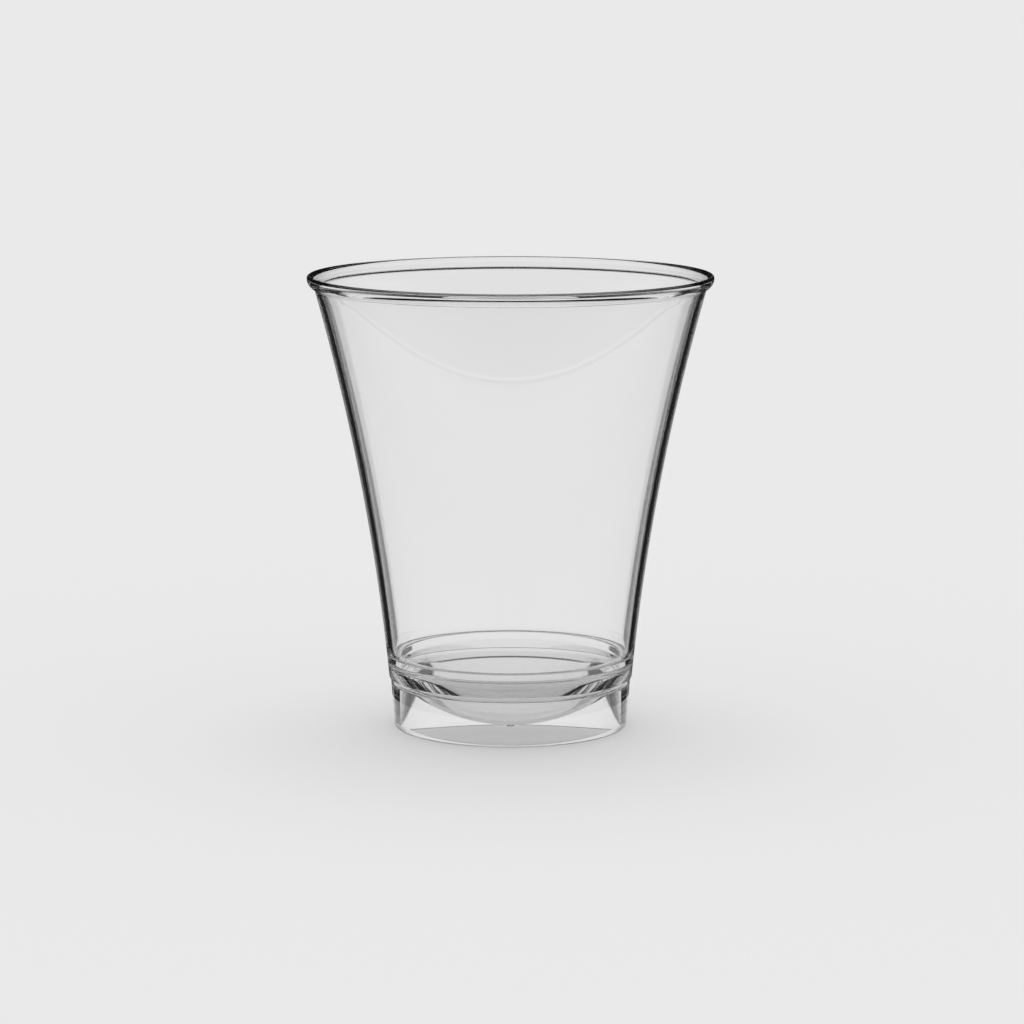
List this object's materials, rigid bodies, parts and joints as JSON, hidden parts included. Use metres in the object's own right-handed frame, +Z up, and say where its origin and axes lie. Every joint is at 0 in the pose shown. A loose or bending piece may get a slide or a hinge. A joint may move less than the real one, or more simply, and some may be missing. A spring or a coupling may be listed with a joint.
{
  "type": "plastic cup",
  "caption": "Clear moulded drinking cup with a flared lip, a trumpet-shaped wall, a stacking ledge, a bowl-shaped floor and a hollow drafted foot.",
  "frame": {"origin": "centre of the foot, on the surface the cup stands on", "axes": "+Z up along the cup's axis of revolution; X and Y are equivalent"},
  "size_m": [0.084, 0.084, 0.0944],
  "materials": {
    "clear_plastic": "clear, polished mould finish"
  },
  "bodies": {
    "root": {"cup": "clear_plastic"}
  },
  "joints": []
}
